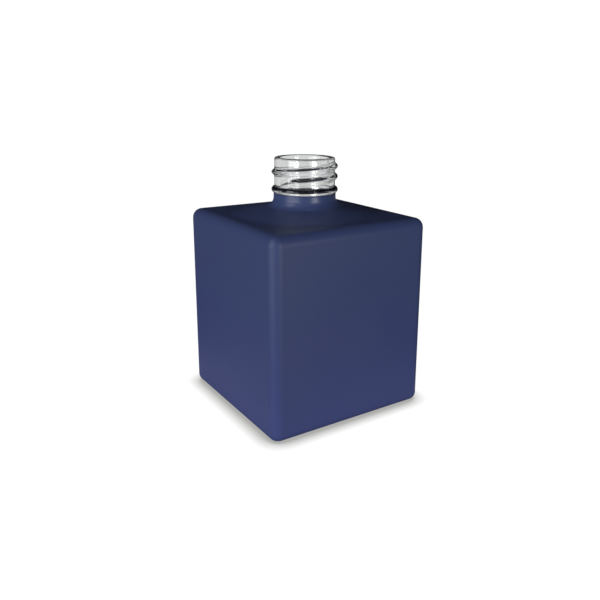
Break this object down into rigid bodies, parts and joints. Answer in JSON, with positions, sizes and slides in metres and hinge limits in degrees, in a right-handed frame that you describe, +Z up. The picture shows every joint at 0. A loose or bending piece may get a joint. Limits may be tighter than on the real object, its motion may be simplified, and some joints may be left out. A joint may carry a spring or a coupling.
{
  "type": "square glass bottle",
  "caption": "Square glass bottle with rounded edges, a gently climbing shoulder, a short screw neck with a transfer bead, a push-up base and a matt blue sprayed coat on its outside.",
  "frame": {"origin": "middle of the base, on the surface that the bottle stands on", "axes": "+Z up through the middle of the mouth, +X and +Y square to the flat sides"},
  "size_m": [0.0732, 0.0732, 0.1046],
  "materials": {
    "glass": "clear soda-lime glass, fire polished",
    "lacquer": "sprayed dark blue lacquer, matt to satin"
  },
  "bodies": {
    "root": {"glass_bottle": "glass", "matt_coating": "lacquer"}
  },
  "joints": []
}
